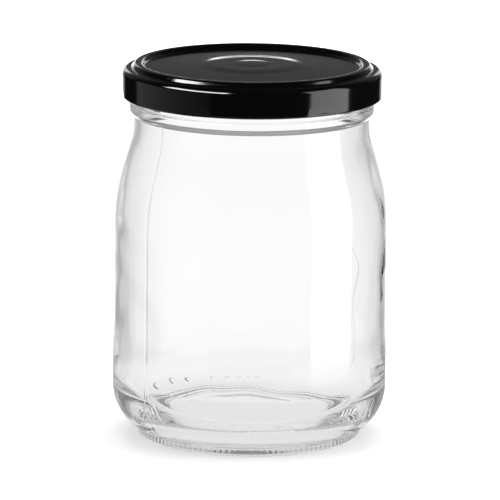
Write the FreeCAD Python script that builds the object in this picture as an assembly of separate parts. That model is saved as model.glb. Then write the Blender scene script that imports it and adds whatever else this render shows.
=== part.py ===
import FreeCAD, Part
import math
import os

from FreeCAD import Vector

# An empty clear glass jam jar with its black twist-off lid screwed on, standing on the ring round
# its raised base. Three pieces: the glass, the pressed tinplate lid, and the sealing compound
# moulded into the lid's channel. The origin is the centre of the ring, on the surface the jar
# stands on, and +Z is up along the jar's axis. Millimetres and degrees.

# Driving sizes
HEIGHT = 123.3  # from the table to the top of the lid's ridge
BODY_RADIUS = 45.1
MOUTH_RADIUS = 39.0  # outside of the neck, and of the mouth between its ribs
WALL = 2.6

# Shoulder: a cone with a large radius at each end
NECK_LENGTH = 2.7
SHOULDER_SLOPE = 16.5  # from the vertical
SHOULDER_CROWN = 63.0  # radius between body and cone
SHOULDER_THROAT = 22.0  # radius between cone and neck

# Base
HEEL_RADIUS = 16.0
FOOT_INSET = 8.1  # from the body in to the foot
FOOT_EDGE = 0.9
FOOT_WIDTH = 3.5  # of the ring that touches the table, with its rounded edges
PUSH_UP = 3.9  # height of the hollow under the base
PUSH_UP_RADIUS = 27.0  # where the hollow's flat middle meets its slope
PUSH_UP_ROUND = 6.0
BASE_THICKNESS = 3.0  # glass over the hollow
FLOOR_FALL = 1.4  # of the inner floor from its middle to the wall
FLOOR_RADIUS = 20.0  # where the inner floor's flat middle meets its slope
FLOOR_ROUND = 25.0
INNER_HEEL = 13.5

# Mouth: a bead that the jar was carried by while it was hot, then the part that the lid covers
BEAD_DROP = 5.9  # from the lid's lower edge down to the bead's underside
BEAD_STEP = 1.3  # how far the bead stands out of the neck
BEAD_RISE = 1.7  # height of its sloping underside
BEAD_HEIGHT = 2.1
BEAD_EDGE = 0.5
RIM_WIDTH = 3.5
RIM_OUTER_ROUND = 1.7
RIM_INNER_ROUND = 1.5
RIM_DROP = 1.4  # from the top of the lid's ridge down to the rim
BORE_DEPTH = 11.0  # below the rim, where the inside widens to the neck
BORE_ROUND = 16.0

# Ribs: a broken screw thread with one start for each lug of the lid
LUGS = 6
RIB_STEP = 1.7  # how far a rib stands out of the mouth
RIB_FOOT = 1.9  # height of a rib at the mouth
RIB_TIP = 0.8  # height of a rib at its outside
RIB_LEAD = 18.0  # rise for a full turn
RIB_SPAN = 66.0  # each rib reaches over the next one's low end
RIB_RUN_OUT = 7.0  # length of the fading stretch at each end
RIB_LEAST = 0.08  # share of a rib's section that is left at its very end
RIB_BURY = 0.8
RIB_SECTIONS = 9
RIB_CROWDING = 0.6  # of the sections towards the ends, 0 for even steps and under 1

# Lid: pressed from one sheet
METAL = 0.2
SKIRT_CLEARANCE = 1.75  # between the ribs and the skirt
LID_HEIGHT = 11.2
CURL_RADIUS = 0.85
CURL_TURN = 290.0
SKIRT_SHOULDER = 2.2  # radius between skirt and top
RIDGE_FLAT = 1.2
RIDGE_DROP = 1.6  # from the ridge out and down to the skirt's shoulder
RIDGE_OUTER_SLOPE = 58.0
RIDGE_INNER_SLOPE = 50.0
PANEL_DROP = 1.3  # from the ridge in and down to the panel's edge
PANEL_CONE = 1.8  # the panel falls outwards
PANEL_BEND = 9.0  # radius at both ends of that fall
BEND_TIGHT = 0.8
BEND_WIDE = 1.0
BUTTON_RADIUS = 19.0  # foot of the raised safety button
BUTTON_BEND = 25.5
BUTTON_SLOPE = 8.0
CREST_RADIUS = 7.2  # foot of the disc raised in the button's middle
CREST_BEND = 22.0
CREST_SLOPE = 5.0

# Lid: lugs, where the curl is pressed in under a rib, with a hollow left outside
LUG_FIRST = -56.5  # angle of one lug's middle, from +X towards +Y
LUG_HALF_WIDTH = 5.5
LUG_CLEARANCE = 0.6  # between a lug's tip and the mouth
LUG_HEIGHT = 1.65
LUG_ROUND = 0.4
LUG_PLAY = 0.06  # between a lug and the rib that it bears on
LUG_PAST_START = 48.0  # angle from a rib's low end to the middle of its lug
DENT_RADIUS = 3.6
DENT_DEPTH = 0.55
DENT_LENGTH = 20.0

# Sealing compound
COMPOUND_INSIDE = 0.7  # how far it reaches past the rim into the mouth
COMPOUND_OUTSIDE = 1.0  # how far it reaches past the rim towards the skirt
COMPOUND_GRIP = 0.6  # how far it reaches down past the rim

LID_BOTTOM = HEIGHT - LID_HEIGHT
LID_RADIUS = MOUTH_RADIUS + RIB_STEP + SKIRT_CLEARANCE + METAL
NECK_TOP = LID_BOTTOM - BEAD_DROP
RIM_TOP = HEIGHT - RIM_DROP
FOOT_RADIUS = BODY_RADIUS - FOOT_INSET
BORE_RADIUS = MOUTH_RADIUS - RIM_WIDTH
AXIS = Vector(0, 0, 1)
ORIGIN = Vector(0, 0, 0)


def at(radius, height):
    return Vector(radius, 0, height)


def add_line(edges, start, end):
    if start.distanceToPoint(end) > 1e-6:
        edges.append(Part.LineSegment(start, end).toShape())


def rounded_outline(corners):
    """Edges through (radius, height, rounding) corners, each corner rounded by a tangent arc."""
    points = [at(radius, height) for radius, height, _ in corners]
    edges = []
    last = points[0]
    for i in range(1, len(corners) - 1):
        corner, rounding = points[i], corners[i][2]
        if rounding == 0:
            add_line(edges, last, corner)
            last = corner
            continue
        back = (points[i - 1] - corner).normalize()
        ahead = (points[i + 1] - corner).normalize()
        half = back.getAngle(ahead) / 2
        reach = rounding / math.tan(half)
        bisector = (back + ahead).normalize()
        halfway = corner + bisector * (rounding / math.sin(half) - rounding)
        begin, end = corner + back * reach, corner + ahead * reach
        add_line(edges, last, begin)
        edges.append(Part.Arc(begin, halfway, end).toShape())
        last = end
    add_line(edges, last, points[-1])
    return edges


def revolved(edges, angle=360):
    face = Part.Face(Part.Wire(Part.__sortEdges__(edges)))
    return face.revolve(ORIGIN, AXIS, angle)


def turned(shape, angle):
    shape.rotate(ORIGIN, AXIS, angle)
    return shape


def ring(inner, outer, low, high):
    tube = Part.makeCylinder(outer, high - low, at(0, low))
    return tube.cut(Part.makeCylinder(inner, high - low, at(0, low)))


def lug_angles():
    return [LUG_FIRST + i * 360 / LUGS for i in range(LUGS)]


def heel_corners():
    """Where the heel's arc leaves the foot, and where its tangent there meets the wall."""
    across = FOOT_RADIUS - (BODY_RADIUS - HEEL_RADIUS)
    down = math.sqrt(HEEL_RADIUS**2 - across**2)
    foot_top = HEEL_RADIUS - down
    slope = across / down
    return [
        (FOOT_RADIUS, foot_top, 0),
        (BODY_RADIUS, foot_top + (BODY_RADIUS - FOOT_RADIUS) * slope, HEEL_RADIUS),
    ]


def shoulder_corners(inset):
    """The two ends of the shoulder's cone, outside at inset 0 and inside at the wall's inset."""
    slope = math.radians(SHOULDER_SLOPE)
    throat = NECK_TOP - NECK_LENGTH - SHOULDER_THROAT * math.tan(slope / 2)
    crown = throat - (BODY_RADIUS - MOUTH_RADIUS) / math.tan(slope)
    lower = inset * math.tan(slope / 2)
    return [
        (BODY_RADIUS - inset, crown - lower, SHOULDER_CROWN - inset),
        (MOUTH_RADIUS - inset, throat - lower, SHOULDER_THROAT + inset),
    ]


def glass_outline():
    bead_side = NECK_TOP + BEAD_RISE
    bead_top = bead_side + BEAD_HEIGHT
    bead_radius = MOUTH_RADIUS + BEAD_STEP
    floor = PUSH_UP + BASE_THICKNESS
    outside = [
        (0, PUSH_UP, 0),
        (PUSH_UP_RADIUS, PUSH_UP, PUSH_UP_ROUND),
        (FOOT_RADIUS - FOOT_WIDTH, 0, FOOT_EDGE),
        (FOOT_RADIUS, 0, FOOT_EDGE),
        *heel_corners(),
        *shoulder_corners(0),
        (MOUTH_RADIUS, NECK_TOP, BEAD_EDGE),
        (bead_radius, bead_side, BEAD_EDGE * 2),
        (bead_radius, bead_top, BEAD_EDGE),
        (MOUTH_RADIUS, bead_top + BEAD_EDGE, BEAD_EDGE),
        (MOUTH_RADIUS, RIM_TOP, RIM_OUTER_ROUND),
    ]
    inside = [
        (BORE_RADIUS, RIM_TOP, RIM_INNER_ROUND),
        (BORE_RADIUS, RIM_TOP - BORE_DEPTH, BORE_ROUND),
        (MOUTH_RADIUS - WALL, NECK_TOP, BORE_ROUND),
        *reversed(shoulder_corners(WALL)),
        (BODY_RADIUS - WALL, floor - FLOOR_FALL, INNER_HEEL),
        (FLOOR_RADIUS, floor, FLOOR_ROUND),
        (0, floor, 0),
    ]
    edges = rounded_outline(outside + inside)
    add_line(edges, at(0, floor), at(0, PUSH_UP))
    return edges


def rib_start():
    """Height of a rib's low end, set so that the rib just clears the near edge of its lug."""
    lug_top = LID_BOTTOM + LUG_HEIGHT + LUG_PLAY
    to_lug = LUG_PAST_START - LUG_HALF_WIDTH
    return lug_top + RIB_FOOT / 2 - RIB_LEAD * to_lug / 360


def rib_section(angle, height, fullness):
    """Wire across a rib, a trapezium whose crest comes down to the mouth where the rib fades."""
    crest = MOUTH_RADIUS + RIB_STEP * fullness
    foot = RIB_FOOT / 2 * (1 + fullness) / 2
    tip = RIB_TIP / 2 * (1 + fullness) / 2
    corners = [
        (MOUTH_RADIUS - RIB_BURY, height - foot),
        (MOUTH_RADIUS, height - foot),
        (crest, height - tip),
        (crest, height + tip),
        (MOUTH_RADIUS, height + foot),
        (MOUTH_RADIUS - RIB_BURY, height + foot),
    ]
    turn = FreeCAD.Rotation(AXIS, angle)
    points = [turn.multVec(at(*corner)) for corner in corners]
    return Part.makePolygon(points + points[:1])


def rib(first_angle):
    wires = []
    for i in range(RIB_SECTIONS):
        share = i / (RIB_SECTIONS - 1)
        wave = math.sin(2 * math.pi * share) / (2 * math.pi)
        along = RIB_SPAN * (share - wave * RIB_CROWDING)
        to_end = min(along, RIB_SPAN - along)
        fullness = RIB_LEAST + (1 - RIB_LEAST) * min(1.0, to_end / RIB_RUN_OUT)
        height = rib_start() + RIB_LEAD * along / 360
        wires.append(rib_section(first_angle + along, height, fullness))
    return Part.makeLoft(wires, True, True)


def glass_jar():
    ribs = [rib(middle - LUG_PAST_START) for middle in lug_angles()]
    return revolved(glass_outline()).fuse(ribs).removeSplitter()


def left_of(heading):
    return Vector(-math.sin(heading), 0, math.cos(heading))


def walk(start, steps, offset=0.0):
    """Edges of a smooth line that starts level and outwards, kept offset to its left.

    A step is a length, or a bend as (radius, turn) with a left turn positive.
    """
    place, heading, edges = start, 0.0, []
    last = place + left_of(heading) * offset
    for step in steps:
        if isinstance(step, tuple):
            radius, turn = step
            side = math.copysign(radius, turn)
            centre = place + left_of(heading) * side
            halfway = heading + math.radians(turn) / 2
            heading += math.radians(turn)
            place = centre - left_of(heading) * side
            end = place + left_of(heading) * offset
            through = centre - left_of(halfway) * (side - offset)
            edges.append(Part.Arc(last, through, end).toShape())
        else:
            place = place + Vector(math.cos(heading), 0, math.sin(heading)) * step
            end = place + left_of(heading) * offset
            add_line(edges, last, end)
        last = end
    return edges, last


def ramp(change, slope, first, second):
    """Steps up by change, or down if it is negative, at a slope between two bends, and their width."""
    angle = math.radians(slope)
    bends = first + second
    straight = (abs(change) - bends * (1 - math.cos(angle))) / math.sin(angle)
    turn = math.copysign(slope, change)
    width = bends * math.sin(angle) + straight * math.cos(angle)
    return [(first, turn), straight, (second, -turn)], width


def dip(bend, slope):
    """Steps of a shallow fall made of two equal bends, with its width and height."""
    angle = math.radians(slope)
    return [(bend, -slope), (bend, slope)], 2 * bend * math.sin(angle), 2 * bend * (1 - math.cos(angle))


def lid_line():
    """Start on the axis and steps of the lid's upper face, out to the end of its curl."""
    crest, crest_width, crest_fall = dip(CREST_BEND, CREST_SLOPE)
    button, button_width, button_fall = dip(BUTTON_BEND, BUTTON_SLOPE)
    to_ridge, to_ridge_width = ramp(PANEL_DROP, RIDGE_INNER_SLOPE, BEND_TIGHT, BEND_WIDE)
    off_ridge, off_ridge_width = ramp(-RIDGE_DROP, RIDGE_OUTER_SLOPE, BEND_WIDE, BEND_TIGHT)
    ridge_inner = (MOUTH_RADIUS + BORE_RADIUS - RIDGE_FLAT) / 2
    cone = math.radians(PANEL_CONE)
    cone_width = ridge_inner - to_ridge_width - BUTTON_RADIUS
    cone_length = (cone_width - 2 * PANEL_BEND * math.sin(cone)) / math.cos(cone)
    cone_fall = cone_length * math.sin(cone) + 2 * PANEL_BEND * (1 - math.cos(cone))
    ledge = LID_RADIUS - SKIRT_SHOULDER - ridge_inner - RIDGE_FLAT - off_ridge_width
    steps = [
        CREST_RADIUS - crest_width,
        *crest,
        BUTTON_RADIUS - button_width - CREST_RADIUS,
        *button,
        (PANEL_BEND, -PANEL_CONE),
        cone_length,
        (PANEL_BEND, PANEL_CONE),
        *to_ridge,
        RIDGE_FLAT,
        *off_ridge,
        ledge,
        (SKIRT_SHOULDER, -90),
        LID_HEIGHT - RIDGE_DROP - SKIRT_SHOULDER - CURL_RADIUS,
        (CURL_RADIUS, -CURL_TURN),
    ]
    middle = HEIGHT - PANEL_DROP + cone_fall + button_fall + crest_fall
    return at(0, middle), steps


def pressed_sheet():
    start, steps = lid_line()
    upper, upper_end = walk(start, steps)
    lower, lower_end = walk(start, steps, -METAL)
    edges = upper + lower
    add_line(edges, upper_end, lower_end)
    add_line(edges, start, start - AXIS * METAL)
    return revolved(edges)


def lug(angle):
    """The stretch of curl that is turned in under a rib."""
    tip = MOUTH_RADIUS + LUG_CLEARANCE
    back = LID_RADIUS - CURL_RADIUS
    low, top = LID_BOTTOM + METAL / 2, LID_BOTTOM + LUG_HEIGHT
    outline = rounded_outline(
        [(back, low, 0), (tip, low, LUG_ROUND), (tip, top, LUG_ROUND), (back, top, 0)]
    )
    add_line(outline, at(back, top), at(back, low))
    return turned(revolved(outline, 2 * LUG_HALF_WIDTH), angle - LUG_HALF_WIDTH)


def press_tool(angle, growth):
    """Round bar across the outside of the skirt's lower edge, where a lug is pressed in."""
    distance = LID_RADIUS + DENT_RADIUS - DENT_DEPTH
    end = Vector(distance, -DENT_LENGTH / 2, LID_BOTTOM)
    bar = Part.makeCylinder(DENT_RADIUS + growth, DENT_LENGTH, end, Vector(0, 1, 0))
    return turned(bar, angle)


def dent_backing():
    """Metal that the press tools have pushed inwards, over the skirt's foot and in its curl."""
    middle = METAL / 2
    curl_height = LID_BOTTOM + CURL_RADIUS
    depth = DENT_DEPTH + METAL
    high = LID_BOTTOM + DENT_RADIUS + METAL
    skirt = ring(LID_RADIUS - depth, LID_RADIUS - middle, curl_height, high)
    curl = Part.makeTorus(LID_RADIUS - CURL_RADIUS, CURL_RADIUS - middle, at(0, curl_height))
    bars = [press_tool(angle, METAL) for angle in lug_angles()]
    return skirt.fuse(curl).common(bars[0].fuse(bars[1:]))


def lid():
    lugs = [lug(angle) for angle in lug_angles()]
    whole = pressed_sheet().fuse([dent_backing(), *lugs])
    return whole.cut([press_tool(angle, 0) for angle in lug_angles()]).removeSplitter()


def lid_seal(jar, cap):
    """Compound that fills the channel under the lid's ridge and takes the print of the rim."""
    low = RIM_TOP - COMPOUND_GRIP
    inner, outer = BORE_RADIUS - COMPOUND_INSIDE, MOUTH_RADIUS + COMPOUND_OUTSIDE
    pieces = ring(inner, outer, low, HEIGHT).cut([cap, jar]).Solids
    return min(pieces, key=lambda piece: piece.BoundBox.ZMin)


def main():
    os.makedirs("parts", exist_ok=True)
    jar, cap = glass_jar(), lid()
    pieces = {"glass_jar": jar, "lid": cap, "lid_seal": lid_seal(jar, cap)}
    for name, shape in pieces.items():
        volume = shape.Volume / 1000
        print(f"{name}: {len(shape.Solids)} solid, valid {shape.isValid()}, {volume:.2f} cm3")
        shape.exportStep(f"parts/{name}.step")


main()
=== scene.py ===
import math

import bpy
from mathutils import Matrix, Vector, noise


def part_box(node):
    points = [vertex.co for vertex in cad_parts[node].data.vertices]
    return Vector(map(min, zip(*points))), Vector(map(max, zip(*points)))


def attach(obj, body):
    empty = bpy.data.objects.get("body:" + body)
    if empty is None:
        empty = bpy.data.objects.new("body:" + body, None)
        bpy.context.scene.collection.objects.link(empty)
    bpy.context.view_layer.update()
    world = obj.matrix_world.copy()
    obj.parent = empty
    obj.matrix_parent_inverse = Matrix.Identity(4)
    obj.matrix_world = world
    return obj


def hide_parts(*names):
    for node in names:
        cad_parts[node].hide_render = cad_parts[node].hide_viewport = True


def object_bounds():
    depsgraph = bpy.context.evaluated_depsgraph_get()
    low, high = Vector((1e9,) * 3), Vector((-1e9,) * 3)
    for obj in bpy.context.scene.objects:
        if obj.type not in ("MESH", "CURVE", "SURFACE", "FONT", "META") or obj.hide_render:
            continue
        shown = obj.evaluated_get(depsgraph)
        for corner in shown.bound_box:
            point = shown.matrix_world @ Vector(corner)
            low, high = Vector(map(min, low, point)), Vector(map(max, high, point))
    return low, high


MM = 0.001
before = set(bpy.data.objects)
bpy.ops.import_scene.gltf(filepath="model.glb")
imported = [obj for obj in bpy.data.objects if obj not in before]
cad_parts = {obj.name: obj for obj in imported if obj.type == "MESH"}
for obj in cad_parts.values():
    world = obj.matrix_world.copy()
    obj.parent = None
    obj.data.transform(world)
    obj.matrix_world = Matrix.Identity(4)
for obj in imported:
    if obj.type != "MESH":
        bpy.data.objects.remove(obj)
cad_low, cad_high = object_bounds()
_, jar_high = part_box("glass_jar")
lid_low, lid_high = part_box("lid")

# The solids' own sizes; lengths are in millimetres
BODY_RADIUS = jar_high.x / MM
RIM_TOP = jar_high.z / MM
LID_RADIUS = lid_high.x / MM
LID_BOTTOM = lid_low.z / MM
LID_TOP = lid_high.z / MM

# Ribs under the lid; angles are in degrees
LUGS = 6
LUG_FIRST = -56.5
LUG_PAST_START = 48.0  # from a rib's low end to the middle of its lug
RIB_STEP = 1.7
RIB_FOOT = 1.9
RIB_TIP = 0.8
RIB_FILLET = 0.15
RIB_LEAD = 18.0
RIB_SPAN = 66.0
RIB_RUN_OUT = 7.0
RIB_RISE = 0.535  # of a rib's low end over the lid's lower edge
RIB_START = LID_BOTTOM + RIB_RISE
RIB_FIRST = LUG_FIRST - LUG_PAST_START

# Lid
METAL = 0.2
ENAMEL_GAP = 0.01  # between the sheet and the enamel inside it
ENAMEL = 0.04
SKIRT_CLEARANCE = 1.75  # between the ribs and the skirt
SKIRT_SHOULDER = 2.2
CURL_RADIUS = 0.85
CURL_TURN = 290
RIDGE_FLAT = 1.2
RIDGE_DROP = 1.6
RIDGE_OUTER_SLOPE = 58.0
RIDGE_INNER_SLOPE = 50.0
BEND_TIGHT = 0.8
BEND_WIDE = 1.0
PANEL_DROP = 1.3
PANEL_CONE = 1.8
PANEL_BEND = 9.0
BUTTON_RADIUS = 19.0
BUTTON_BEND = 25.5
BUTTON_SLOPE = 8.0
CREST_RADIUS = 7.2
CREST_BEND = 22.0
CREST_SLOPE = 5.0
DENT_RADIUS = 3.6
DENT_DEPTH = 0.55

# Glass
WALL = 2.6
MOUTH_RADIUS = LID_RADIUS - (RIB_STEP + SKIRT_CLEARANCE + METAL)
BEAD_DROP = 5.9  # from the lid's lower edge down to the bead's underside
NECK_TOP = LID_BOTTOM - BEAD_DROP
NECK_LENGTH = 2.7
SHOULDER_SLOPE = math.radians(16.5)
SHOULDER_CROWN = 63.0
SHOULDER_THROAT = 22.0
HEEL_RADIUS = 16.0
FOOT_INSET = 8.1
FOOT_RADIUS = BODY_RADIUS - FOOT_INSET
FOOT_EDGE = 0.9
FOOT_WIDTH = 3.5
PUSH_UP = 3.9
PUSH_UP_RADIUS = 27.0
PUSH_UP_ROUND = 6.0
FLOOR = 6.9
FLOOR_FALL = 1.4
FLOOR_RADIUS = 20.0
FLOOR_ROUND = 25.0
INNER_HEEL = 13.5
BEAD_STEP = 1.3
BEAD_RISE = 1.7
BEAD_HEIGHT = 2.1
BEAD_EDGE = 0.5
RIM_WIDTH = 3.5
BORE_RADIUS = MOUTH_RADIUS - RIM_WIDTH
BORE_DEPTH = 11.0
BORE_ROUND = 16.0
RIM_OUTER_ROUND = 1.7
RIM_INNER_ROUND = 1.5

# What the mould leaves on the glass
SEAMS = (-138.0, 42.0)
SEAM_WIDTH = 0.32
SEAM_HEIGHT = 0.18
KNURLS = 120
KNURL_HALF_DEPTH = 0.11
KNURL_TOP = 3
DOTS = (85, 90, 95, 100, 106, 123, 132, 144)
DOT_LEVEL = 5.4
DOT_HEIGHT = 0.7
DOT_FLAT = 0.8
DOT_RADIUS = 1.3
BAR_ROWS = ((-91, 8), (-42, 4), (-150, 4))  # where each row begins, and its bars
BAR_PITCH = 2.6
BAR_LEVEL = 8.4
BAR_HEIGHT = 0.45
BAR_FLAT = 1.0
BAR_REACH = 1.6

# Meshes: the distance between points, closer where the surface carries relief
SEGMENTS = 600  # around the glass and the lid
SPACING_PLAIN = 2.0
SPACING_HEEL = 0.4
SPACING_FINISH = 0.3
SPACING_INSIDE = 1.6
SPACING_SHEET = 1.5
SPACING_EDGE = 0.06
ARC_STEP = math.radians(7)
ARC_STEP_LEAST = math.radians(1)
BEND_STEP = 5

# Studio, in metres
MIDDLE = Vector((0, 0, 0.06))  # what the camera and the lamps point at
FLOOR_HALF = 4.0
FLOOR_GAP = 0.00005
BOUNCES = 128  # light turns many times in the thick heel before it leaves


def arc_points(centre, start, end, step):
    """Points on the shorter arc from start to end, end included."""
    first, last = start - centre, end - centre
    turn = first.angle_signed(last)
    count = max(2, math.ceil(abs(turn) / step))
    points = []
    for i in range(1, count + 1):
        points.append(centre + Matrix.Rotation(-turn * i / count, 2) @ first)
    return points


def stations(length, spacing):
    """Distances along a straight run, close to both its ends first so that its shading stays flat."""
    edge = min(SPACING_EDGE, length / 4)
    count = max(1, math.ceil((length - 2 * edge) / spacing))
    inner = [edge + (length - 2 * edge) * i / count for i in range(count + 1)]
    return [*inner, length]


def divided(start, end, spacing):
    """Points after start up to end, no further apart than spacing says for the place."""
    length = (end - start).length
    apart = spacing(start.lerp(end, 0.5))
    return [start.lerp(end, along / length) for along in stations(length, apart)]


def rounded(corners, spacing):
    """Outline through (radius, height, rounding) corners, each corner rounded by a tangent arc."""
    points = [Vector(corner[:2]) for corner in corners]
    line = [points[0]]
    for i in range(1, len(corners) - 1):
        corner, rounding = points[i], corners[i][2]
        if rounding == 0:
            line += divided(line[-1], corner, spacing)
            continue
        back = (points[i - 1] - corner).normalized()
        ahead = (points[i + 1] - corner).normalized()
        half = back.angle(ahead) / 2
        reach = rounding / math.tan(half)
        centre = corner + (back + ahead).normalized() * (rounding / math.sin(half))
        begin, end = corner + back * reach, corner + ahead * reach
        if (begin - line[-1]).length > 1e-4:
            line += divided(line[-1], begin, spacing)
        step = max(min(ARC_STEP, spacing(corner) / rounding), ARC_STEP_LEAST)
        line += arc_points(centre, begin, end, step)
    line += divided(line[-1], points[-1], spacing)
    return line


def heel_corners():
    """Where the foot meets the heel, and the corner that the heel's arc rounds."""
    across = FOOT_RADIUS - (BODY_RADIUS - HEEL_RADIUS)
    down = math.sqrt(HEEL_RADIUS**2 - across**2)
    foot_top = HEEL_RADIUS - down
    corner = foot_top + (BODY_RADIUS - FOOT_RADIUS) * across / down
    return [(FOOT_RADIUS, foot_top, 0), (BODY_RADIUS, corner, HEEL_RADIUS)]


def shoulder_corners(inset):
    """The shoulder's crown and throat, moved inwards by inset."""
    throat = NECK_TOP - NECK_LENGTH - SHOULDER_THROAT * math.tan(SHOULDER_SLOPE / 2)
    crown = throat - (BODY_RADIUS - MOUTH_RADIUS) / math.tan(SHOULDER_SLOPE)
    lower = inset * math.tan(SHOULDER_SLOPE / 2)
    return [
        (BODY_RADIUS - inset, crown - lower, SHOULDER_CROWN - inset),
        (MOUTH_RADIUS - inset, throat - lower, SHOULDER_THROAT + inset),
    ]


def outside_spacing(place):
    if place.x < FOOT_RADIUS - FOOT_WIDTH - 1:
        return SPACING_PLAIN
    if place.y < HEEL_RADIUS:
        return SPACING_HEEL
    return SPACING_PLAIN if place.y < NECK_TOP else SPACING_FINISH


def inside_spacing(place):
    return SPACING_INSIDE


def glass_outside():
    """Outline from the middle of the push-up, round the foot and up to the top of the rim."""
    bead_side = NECK_TOP + BEAD_RISE
    bead_top = bead_side + BEAD_HEIGHT
    bead = MOUTH_RADIUS + BEAD_STEP
    corners = [
        (0, PUSH_UP, 0),
        (PUSH_UP_RADIUS, PUSH_UP, PUSH_UP_ROUND),
        (FOOT_RADIUS - FOOT_WIDTH, 0, FOOT_EDGE),
        (FOOT_RADIUS, 0, FOOT_EDGE),
        *heel_corners(),
        *shoulder_corners(0),
        (MOUTH_RADIUS, NECK_TOP, BEAD_EDGE),
        (bead, bead_side, BEAD_EDGE * 2),
        (bead, bead_top, BEAD_EDGE),
        (MOUTH_RADIUS, bead_top + BEAD_EDGE, BEAD_EDGE),
        (MOUTH_RADIUS, RIM_TOP, RIM_OUTER_ROUND),
        ((MOUTH_RADIUS + BORE_RADIUS) / 2, RIM_TOP, 0),
    ]
    return rounded(corners, outside_spacing)


def glass_inside():
    """Outline from the top of the rim, down the bore and the wall, to the middle of the floor."""
    corners = [
        ((MOUTH_RADIUS + BORE_RADIUS) / 2, RIM_TOP, 0),
        (BORE_RADIUS, RIM_TOP, RIM_INNER_ROUND),
        (BORE_RADIUS, RIM_TOP - BORE_DEPTH, BORE_ROUND),
        (MOUTH_RADIUS - WALL, NECK_TOP, BORE_ROUND),
        *reversed(shoulder_corners(WALL)),
        (BODY_RADIUS - WALL, FLOOR - FLOOR_FALL, INNER_HEEL),
        (FLOOR_RADIUS, FLOOR, FLOOR_ROUND),
        (0, FLOOR, 0),
    ]
    return rounded(corners, inside_spacing)[1:]


def fade(value, low, high):
    """0 below low, 1 above high, and smooth between."""
    share = min(1.0, max(0.0, (value - low) / (high - low)))
    return share * share * (3 - 2 * share)


def angle_from(angle, middle):
    """Signed angle in degrees from middle to angle, by the shorter way."""
    return (angle - middle + 180) % 360 - 180


def rib_height(angle, z):
    """How far the ribs stand out of the mouth there."""
    highest = 0.0
    for i in range(LUGS):
        along = angle_from(angle, RIB_FIRST + i * 360 / LUGS + RIB_SPAN / 2) + RIB_SPAN / 2
        to_end = min(along, RIB_SPAN - along)
        if to_end <= 0:
            continue
        middle = RIB_START + RIB_LEAD * along / 360
        fullness = fade(to_end, -1, RIB_RUN_OUT)
        section = 1 - fade(abs(z - middle), RIB_TIP / 2, RIB_FOOT / 2 + RIB_FILLET)
        highest = max(highest, RIB_STEP * fullness * section)
    return highest


def seam_height(radius, angle):
    """Fine rounded lines where the halves of the mould met."""
    height = 0.0
    for seam in SEAMS:
        across = math.radians(angle_from(angle, seam)) * radius
        height += SEAM_HEIGHT * math.exp(-((across / SEAM_WIDTH) ** 2))
    return height


def knurl_depth(z, angle):
    """Small hollows all round the foot."""
    wave = KNURL_HALF_DEPTH * (1 + math.cos(math.radians(angle) * KNURLS))
    return wave * (1 - fade(z, 1.2, KNURL_TOP))


def dot_height(radius, z, angle):
    """A row of plain raised dots on the heel."""
    height = 0.0
    for dot in DOTS:
        across = math.radians(angle_from(angle, dot)) * radius
        off = math.hypot(across, z - DOT_LEVEL)
        height += DOT_HEIGHT * (1 - fade(off, DOT_FLAT, DOT_RADIUS))
    return height


def bar_height(z, angle):
    """Plain raised bars in three short rows around the heel."""
    tall = 1 - fade(abs(z - BAR_LEVEL), BAR_FLAT, BAR_REACH)
    for first, count in BAR_ROWS:
        half = BAR_PITCH * count / 2
        along = angle_from(angle, first + half)
        if abs(along) < half:
            wave = 0.5 - 0.5 * math.cos(math.radians(along) * 360 / BAR_PITCH)
            return BAR_HEIGHT * tall * wave
    return 0.0


def outside_relief(radius, z, angle):
    """How far the outer surface stands off its plain outline."""
    off = 0.0
    if z > NECK_TOP + 3:
        off += rib_height(angle, z)
    if 2 < z < NECK_TOP:
        off += seam_height(radius, angle)
    if z < KNURL_TOP and radius > FOOT_RADIUS - 2.5:
        off -= knurl_depth(z, angle)
    if abs(z - DOT_LEVEL) < 2:
        off += dot_height(radius, z, angle)
    if abs(z - BAR_LEVEL) < 3:
        off += bar_height(z, angle)
    return off


def inside_relief(radius, z, angle):
    """How far the inner surface stands off its plain outline; a blown wall is a little uneven."""
    if radius < 30 or z > NECK_TOP - 2:
        return 0.0
    body = fade(z, 14, 30) * (1 - fade(z, NECK_TOP - 14, NECK_TOP - 2))
    way = math.radians(angle)
    east, north = math.cos(way), math.sin(way)
    thin = 0.9 * fade(east, 0.5, 1.0) * (1 - fade(z, 60, 84))
    thick = -0.45 * fade(east, 0.6, 1.0) * fade(z, 74, 88)
    slow = noise.noise(Vector((east * 1.2, north * 1.2, z / 34 + 3))) * 0.30
    fine = noise.noise(Vector((east * 4.0, north * 4.0, z / 11 + 7))) * 0.18
    return body * (thin + thick + slow + fine)


def placed(name, data):
    made = bpy.data.objects.new(name, data)
    bpy.context.scene.collection.objects.link(made)
    return made


def spun(name, outlines, relief):
    """Closed mesh from outlines of (radius, height) points turned about Z. The first outline starts
    on the axis and the last ends on it. relief(part, radius, height, angle) moves a point outwards."""
    vertices, rings = [], []
    for part, line in enumerate(outlines):
        for point in line:
            if point.x < 1e-6:
                rings.append([len(vertices)])
                vertices.append((0, 0, point.y * MM))
                continue
            ring = []
            for j in range(SEGMENTS):
                angle = j * 360 / SEGMENTS
                radius = point.x + relief(part, point.x, point.y, angle)
                way = math.radians(angle)
                ring.append(len(vertices))
                east, north = radius * math.cos(way), radius * math.sin(way)
                vertices.append((east * MM, north * MM, point.y * MM))
            rings.append(ring)
    faces = []
    for low, high in zip(rings, rings[1:]):
        for j in range(SEGMENTS):
            k = (j + 1) % SEGMENTS
            if len(low) == 1:
                faces.append((low[0], high[k], high[j]))
            elif len(high) == 1:
                faces.append((low[j], low[k], high[0]))
            else:
                faces.append((low[j], low[k], high[k], high[j]))
    mesh = bpy.data.meshes.new(name)
    mesh.from_pydata(vertices, [], faces)
    mesh.shade_smooth()
    return placed(name, mesh)


def glass_relief(part, radius, z, angle):
    return outside_relief(radius, z, angle) if part == 0 else inside_relief(radius, z, angle)


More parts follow.
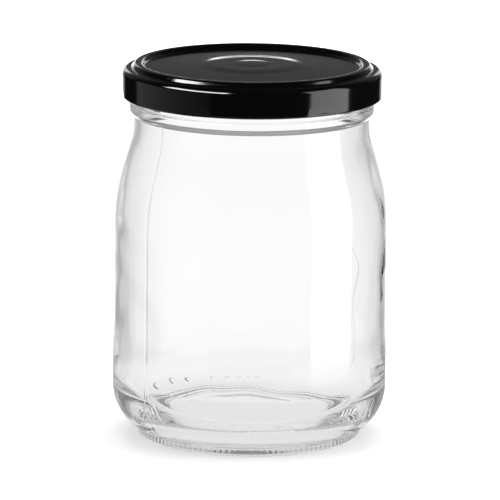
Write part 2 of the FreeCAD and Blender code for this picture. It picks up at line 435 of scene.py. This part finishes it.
def left_of(heading):
    return Vector((-math.sin(heading), math.cos(heading)))


def walk(start, steps, offset):
    """Outline that starts level and outwards, kept offset to its left; a step is a length or a
    (radius, turn) bend with a left turn positive."""
    place, heading = start, 0.0
    line = [place + left_of(heading) * offset]
    for step in steps:
        if isinstance(step, tuple):
            radius, turn = step
            side = math.copysign(radius, turn)
            centre = place + left_of(heading) * side
            count = max(2, math.ceil(abs(turn) / BEND_STEP))
            begin = heading
            for i in range(1, count + 1):
                heading = begin + math.radians(turn) * i / count
                line.append(centre - left_of(heading) * (side - offset))
            place = centre - left_of(heading) * side
        else:
            ahead = Vector((math.cos(heading), math.sin(heading)))
            aside = left_of(heading) * offset
            line += [place + ahead * along + aside for along in stations(step, SPACING_SHEET)]
            place = place + ahead * step
    return line


def ramp(change, slope, first, second):
    """Steps that rise or fall by change between two bends, and their width."""
    angle = math.radians(slope)
    bends = first + second
    straight = (abs(change) - bends * (1 - math.cos(angle))) / math.sin(angle)
    turn = math.copysign(slope, change)
    width = bends * math.sin(angle) + straight * math.cos(angle)
    return [(first, turn), straight, (second, -turn)], width


def dip(bend, slope):
    """Steps down over two equal bends, with their width and their fall."""
    angle = math.radians(slope)
    width = 2 * bend * math.sin(angle)
    fall = 2 * bend * (1 - math.cos(angle))
    return [(bend, -slope), (bend, slope)], width, fall


def lid_line():
    """The lid's outer face from the middle of its button to the end of its curl."""
    crest, crest_width, crest_fall = dip(CREST_BEND, CREST_SLOPE)
    button, button_width, button_fall = dip(BUTTON_BEND, BUTTON_SLOPE)
    to_ridge, to_ridge_width = ramp(PANEL_DROP, RIDGE_INNER_SLOPE, BEND_TIGHT, BEND_WIDE)
    off_ridge, off_ridge_width = ramp(-RIDGE_DROP, RIDGE_OUTER_SLOPE, BEND_WIDE, BEND_TIGHT)
    ridge_inner = (MOUTH_RADIUS + BORE_RADIUS - RIDGE_FLAT) / 2
    cone = math.radians(PANEL_CONE)
    cone_width = ridge_inner - to_ridge_width - BUTTON_RADIUS
    cone_length = (cone_width - 2 * PANEL_BEND * math.sin(cone)) / math.cos(cone)
    cone_fall = cone_length * math.sin(cone) + 2 * PANEL_BEND * (1 - math.cos(cone))
    ledge = LID_RADIUS - SKIRT_SHOULDER - ridge_inner - RIDGE_FLAT - off_ridge_width
    steps = [
        CREST_RADIUS - crest_width,
        *crest,
        BUTTON_RADIUS - button_width - CREST_RADIUS,
        *button,
        (PANEL_BEND, -PANEL_CONE),
        cone_length,
        (PANEL_BEND, PANEL_CONE),
        *to_ridge,
        RIDGE_FLAT,
        *off_ridge,
        ledge,
        (SKIRT_SHOULDER, -90),
        LID_TOP - LID_BOTTOM - RIDGE_DROP - SKIRT_SHOULDER - CURL_RADIUS,
        (CURL_RADIUS, -CURL_TURN),
    ]
    middle = LID_TOP - PANEL_DROP + cone_fall + button_fall + crest_fall
    return Vector((0, middle)), steps


def sheet(start, steps, upper, lower):
    """Closed outlines of a thin sheet between two offsets from the line."""
    return [walk(start, steps, lower), list(reversed(walk(start, steps, upper)))]


def lid_outlines():
    start, steps = lid_line()
    return sheet(start, steps, 0.0, -METAL)


def lining_outlines():
    """The thin coat of enamel on the lid's inner side, down to its curl."""
    start, steps = lid_line()
    upper = -METAL - ENAMEL_GAP
    return sheet(start, steps[:-1], upper, upper - ENAMEL)


def lid_relief(part, radius, z, angle):
    """The curl and skirt give way where the lugs are pressed in."""
    height = z - LID_BOTTOM
    if height > DENT_RADIUS or radius < LID_RADIUS - 2.5:
        return 0.0
    nearest = min(abs(angle_from(angle, LUG_FIRST + i * 360 / LUGS)) for i in range(LUGS))
    bar = LID_RADIUS + DENT_RADIUS - DENT_DEPTH - math.sqrt(DENT_RADIUS**2 - height**2)
    bar -= METAL if part == 0 else 0.0
    return min(0.0, bar / math.cos(math.radians(nearest)) - radius)


class Wire:
    """A shader socket that takes part in arithmetic; every operation adds a Math node."""

    def __init__(self, graph, socket):
        self.graph = graph
        self.socket = socket

    def math(self, operation, *values):
        inputs = {i: value for i, value in enumerate((self, *values))}
        return self.graph.node("ShaderNodeMath", {"operation": operation}, inputs)

    def __add__(self, other):
        return self.math("ADD", other)

    def __sub__(self, other):
        return self.math("SUBTRACT", other)

    def __mul__(self, other):
        return self.math("MULTIPLY", other)

    def __rsub__(self, other):
        return self * -1 + other

    __radd__ = __add__
    __rmul__ = __mul__

    def step(self, low, high):
        """0 below low, 1 above high, and smooth between."""
        return self.graph.node(
            "ShaderNodeMapRange",
            {"interpolation_type": "SMOOTHSTEP"},
            {"Value": self, "From Min": low, "From Max": high},
        )

    def between(self, low, high, edge):
        """1 from low to high and 0 beyond them, with soft edges."""
        return self.step(low - edge, low + edge) * (1 - self.step(high - edge, high + edge))


class Graph:
    """Builds a node tree."""

    def __init__(self, tree):
        self.tree = tree
        tree.nodes.clear()

    def node(self, kind, settings=None, values=None, output=0):
        made = self.tree.nodes.new(kind)
        for name, value in (settings or {}).items():
            setattr(made, name, value)
        for name, value in (values or {}).items():
            if isinstance(value, Wire):
                self.tree.links.new(value.socket, made.inputs[name])
            else:
                made.inputs[name].default_value = value
        return Wire(self, made.outputs[output]) if made.outputs else made


def material(name):
    made = bpy.data.materials.new(name)
    made.use_nodes = True
    return made, Graph(made.node_tree)


def clouds(graph, place, scale, detail):
    return graph.node("ShaderNodeTexNoise", values={"Vector": place, "Scale": scale, "Detail": detail})


def tone(graph, factor, first, second):
    values = {"Factor": factor, "A": (*first, 1), "B": (*second, 1)}
    return graph.node("ShaderNodeMix", {"data_type": "RGBA"}, values, output=2)


def skin(graph, height, strength, distance):
    values = {"Height": height, "Strength": strength, "Distance": distance}
    return graph.node("ShaderNodeBump", values=values)


def clear_glass():
    """Clear glass with a faint drift in its surface; its thick places are a little darker."""
    made, graph = material("clear_glass")
    place = graph.node("ShaderNodeTexCoord", output="Object")
    drift = clouds(graph, place, 60.0, 3.0)
    shader = graph.node(
        "ShaderNodeBsdfPrincipled",
        values={
            "Base Color": tone(graph, drift, (0.985, 0.985, 0.985), (1, 1, 1)),
            "Roughness": 0.0,
            "IOR": 1.52,
            "Transmission Weight": 1.0,
            "Normal": skin(graph, drift, 0.04, 0.0005),
        },
    )
    depth = graph.node(
        "ShaderNodeVolumeAbsorption", values={"Color": (0.5, 0.5, 0.5, 1), "Density": 3.0}
    )
    graph.node("ShaderNodeOutputMaterial", values={"Surface": shader, "Volume": depth})
    return made


def black_lacquer():
    """Gloss black with faint wiping marks and a little dust."""
    made, graph = material("black_lacquer")
    place = graph.node("ShaderNodeTexCoord", output="Object")
    grain = clouds(graph, place, 900.0, 4.0)
    wipe = clouds(graph, place, 70.0, 5.0)
    specks = graph.node("ShaderNodeTexVoronoi", {"feature": "F1"}, {"Vector": place, "Scale": 420.0})
    dust = (1 - specks.step(0.04, 0.10)) * wipe.step(0.55, 0.75)
    shader = graph.node(
        "ShaderNodeBsdfPrincipled",
        values={
            "Base Color": tone(graph, dust, (0.002, 0.002, 0.002), (0.2, 0.2, 0.2)),
            "Roughness": 0.06 + wipe * 0.06 + dust * 0.4,
            "IOR": 1.5,
            "Normal": skin(graph, grain, 0.05, 0.0001),
        },
    )
    graph.node("ShaderNodeOutputMaterial", values={"Surface": shader})
    return made


def clouded(name, scale, dark, light, gloss, spread, relief):
    """A pale finish with soft clouds in its colour, its roughness and its surface."""
    made, graph = material(name)
    place = graph.node("ShaderNodeTexCoord", output="Object")
    cloud = clouds(graph, place, scale, 4.0)
    shader = graph.node(
        "ShaderNodeBsdfPrincipled",
        values={
            "Base Color": tone(graph, cloud, dark, light),
            "Roughness": gloss + cloud * spread,
            "Normal": skin(graph, cloud, relief, 0.0001),
        },
    )
    graph.node("ShaderNodeOutputMaterial", values={"Surface": shader})
    return made


def pale_enamel():
    return clouded("pale_enamel", 120.0, (0.68, 0.68, 0.67), (0.78, 0.78, 0.77), 0.25, 0.15, 0.1)


def sealing_compound():
    dark, light = (0.72, 0.72, 0.70), (0.82, 0.82, 0.80)
    return clouded("sealing_compound", 400.0, dark, light, 0.35, 0.2, 0.3)


def rays(graph):
    """Which ray looks: straight from the camera, through glass, or off a surface."""
    camera = graph.node("ShaderNodeLightPath", output="Is Camera Ray")
    glossy = graph.node("ShaderNodeLightPath", output="Is Glossy Ray")
    through = graph.node("ShaderNodeLightPath", output="Is Transmission Ray")
    return camera, through, glossy * (1 - through)


def round_about(graph, place):
    """Degrees round the jar's axis from the viewer's side: 0 in front, 180 behind, minus on the left."""
    east = graph.node("ShaderNodeSeparateXYZ", values={"Vector": place}, output="X")
    north = graph.node("ShaderNodeSeparateXYZ", values={"Vector": place}, output="Y")
    return east.math("ARCTAN2", north * -1) * (180 / math.pi)


def open_studio(behind):
    """How light the studio is, seen through the glass: light behind and in front, greyer beside."""
    return 1.06 - 0.5 * behind.step(60, 125) + 0.48 * behind.step(142, 170)


def studio_paper():
    """Pale paper that keeps the jar's shadow, with a level of its own for each kind of ray. Straight on
    it also glows, less near the jar. Seen through the glass it is only a glow, with a painted shadow
    under the jar and painted shade beside it.
    """
    made, graph = material("studio_floor")
    camera, through, mirrored = rays(graph)
    place = graph.node("ShaderNodeNewGeometry", output="Position")
    reach = graph.node("ShaderNodeVectorMath", {"operation": "LENGTH"}, {0: place}, output="Value")
    behind = round_about(graph, place).math("ABSOLUTE")
    # the floor glows for camera rays, less near the jar, so the lit paper and its shadow show there
    bare = 0.30 + 0.70 * reach.step(0.25, 0.9)
    # painted shadow: seen through the glass, the floor's glow is darker right under the jar
    painted_shadow_under_jar = 0.82 + 0.16 * reach.step(0.035, 0.06)
    # painted shade: further off, seen through the glass, the floor's glow is greyer beside the jar than
    # in front of it and behind it
    painted_floor_through_glass = painted_shadow_under_jar + (open_studio(behind) - painted_shadow_under_jar) * reach.step(0.07, 0.13)
    shine = camera * bare + through * painted_floor_through_glass + mirrored * 0.6
    paper = graph.node("ShaderNodeBsdfDiffuse", values={"Color": (0.9, 0.9, 0.9, 1)})
    lift = graph.node("ShaderNodeEmission", values={"Color": shine, "Strength": 1.0})
    lit = graph.node("ShaderNodeAddShader", values={0: paper, 1: lift})
    glow = graph.node("ShaderNodeMixShader", values={0: through + mirrored, 1: lit, 2: lift})
    unseen = graph.node("ShaderNodeBsdfTransparent")
    close = 1 - reach.step(0.12, 0.2)
    seen = graph.node("ShaderNodeMixShader", values={0: mirrored * (1 - close), 1: glow, 2: unseen})
    graph.node("ShaderNodeOutputMaterial", values={"Surface": seen})
    return made


def studio_world():
    """A pale room; what the lid mirrors of it is a dim room with a few boxes and cards of light."""
    world = bpy.data.worlds.new("studio")
    world.use_nodes = True
    world.cycles.sampling_method = "NONE"
    bpy.context.scene.world = world
    graph = Graph(world.node_tree)
    way = graph.node("ShaderNodeTexCoord", output="Generated")
    up = graph.node("ShaderNodeSeparateXYZ", values={"Vector": way}, output="Z")
    elevation = up.math("ARCSINE") * (180 / math.pi)
    azimuth = round_about(graph, way)
    behind = azimuth.math("ABSOLUTE")

    room = 0.01 + 0.12 * elevation.step(2, 5) * (1 - elevation.step(20, 50)) * behind.step(120, 150)
    right_box = 3.0 * azimuth.between(53, 94, 1.5) * elevation.between(-35, 42, 1.5)
    left_level = 0.10 + 0.24 * (1 - azimuth.step(-100, -40))
    left_card = left_level * azimuth.between(-122, -38, 3.0) * elevation.between(-60, 16, 3.0)
    left_box = 22.0 * azimuth.between(-92, -24, 2.0) * elevation.between(30, 46, 2.0)
    backdrop = 2.6 * behind.step(150, 174) * (1 - elevation.step(3, 5.5))
    beside = behind.step(158, 162) * (1 - behind.step(168, 174))
    side_strips = 1.5 * beside * elevation.between(6, 18, 2)
    reflected = room + right_box + left_card + left_box + backdrop + side_strips
    open_room = open_studio(behind) * (1 - 0.25 * elevation.step(0, 15))

    camera, through, mirrored = rays(graph)
    plain = (1 - camera) * (1 - through) * (1 - mirrored)
    light = camera + through * open_room + mirrored * reflected + plain * 0.62
    sky = graph.node("ShaderNodeBackground", values={"Color": light, "Strength": 1.0})
    graph.node("ShaderNodeOutputWorld", values={"Surface": sky})


def soft_box(name, azimuth, elevation, distance, width, height, power):
    """A lamp turned to the jar; it lights surfaces but is neither seen nor mirrored."""
    lamp = bpy.data.lights.new(name, "AREA")
    lamp.shape = "RECTANGLE"
    lamp.size = width
    lamp.size_y = height
    lamp.energy = power
    box = placed(name, lamp)
    a, e = math.radians(azimuth), math.radians(elevation)
    way = Vector((math.sin(a) * math.cos(e), -math.cos(a) * math.cos(e), math.sin(e)))
    box.location = MIDDLE + way * distance
    box.rotation_mode = "QUATERNION"
    box.rotation_quaternion = way.to_track_quat("Z", "Y")
    box.visible_camera = False
    box.visible_glossy = False
    box.visible_transmission = False


def studio_lights():
    soft_box("right_light", 73, 18, 0.9, 0.6, 0.6, 5.0)
    soft_box("left_light", -60, 30, 1.1, 0.5, 0.5, 3.0)
    soft_box("back_light", 180, 50, 1.1, 0.9, 0.5, 5.0)


def studio_floor():
    mesh = bpy.data.meshes.new("studio_floor")
    half = FLOOR_HALF
    corners = [(-half, -half, 0), (half, -half, 0), (half, half, 0), (-half, half, 0)]
    mesh.from_pydata(corners, [], [(0, 1, 2, 3)])
    mesh.materials.append(studio_paper())
    floor = placed("studio_floor", mesh)
    floor.location.z = cad_low.z - FLOOR_GAP


def studio_camera():
    """A long lens, looking down on the jar a little and turned by a fraction of a degree."""
    data = bpy.data.cameras.new("studio_camera")
    data.lens = 327.8
    data.sensor_width = 36.0
    data.shift_x = -0.0008
    data.shift_y = 0.0035
    data.clip_start, data.clip_end = 0.1, 20.0
    camera = placed("studio_camera", data)
    distance, elevation, roll = 1.5, math.radians(12.26), math.radians(0.6)
    back = Vector((0, -math.cos(elevation), math.sin(elevation)))
    right, up = Vector((1, 0, 0)), Vector((0, math.sin(elevation), math.cos(elevation)))
    across = right * math.cos(roll) + up * math.sin(roll)
    upright = up * math.cos(roll) - right * math.sin(roll)
    turn = Matrix((across, upright, back)).transposed().to_4x4()
    camera.matrix_world = Matrix.Translation(MIDDLE + back * distance) @ turn
    bpy.context.scene.camera = camera


def main():
    glass = spun("glass_jar_clear", [glass_outside(), glass_inside()], glass_relief)
    glass.data.materials.append(clear_glass())
    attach(glass, "root")
    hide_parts("glass_jar")

    cap = spun("lid_lacquered", lid_outlines(), lid_relief)
    cap.data.materials.append(black_lacquer())
    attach(cap, "root")
    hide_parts("lid")

    lining = spun("lid_lining", lining_outlines(), lid_relief)
    lining.data.materials.append(pale_enamel())
    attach(lining, "root")

    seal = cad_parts["lid_seal"]
    seal.data.materials.clear()
    seal.data.materials.append(sealing_compound())

    studio_floor()
    studio_world()
    studio_lights()
    studio_camera()
    scene = bpy.context.scene
    scene.view_settings.view_transform = "Standard"
    scene.cycles.max_bounces = BOUNCES
    scene.cycles.transmission_bounces = BOUNCES
    scene.cycles.glossy_bounces = BOUNCES


main()
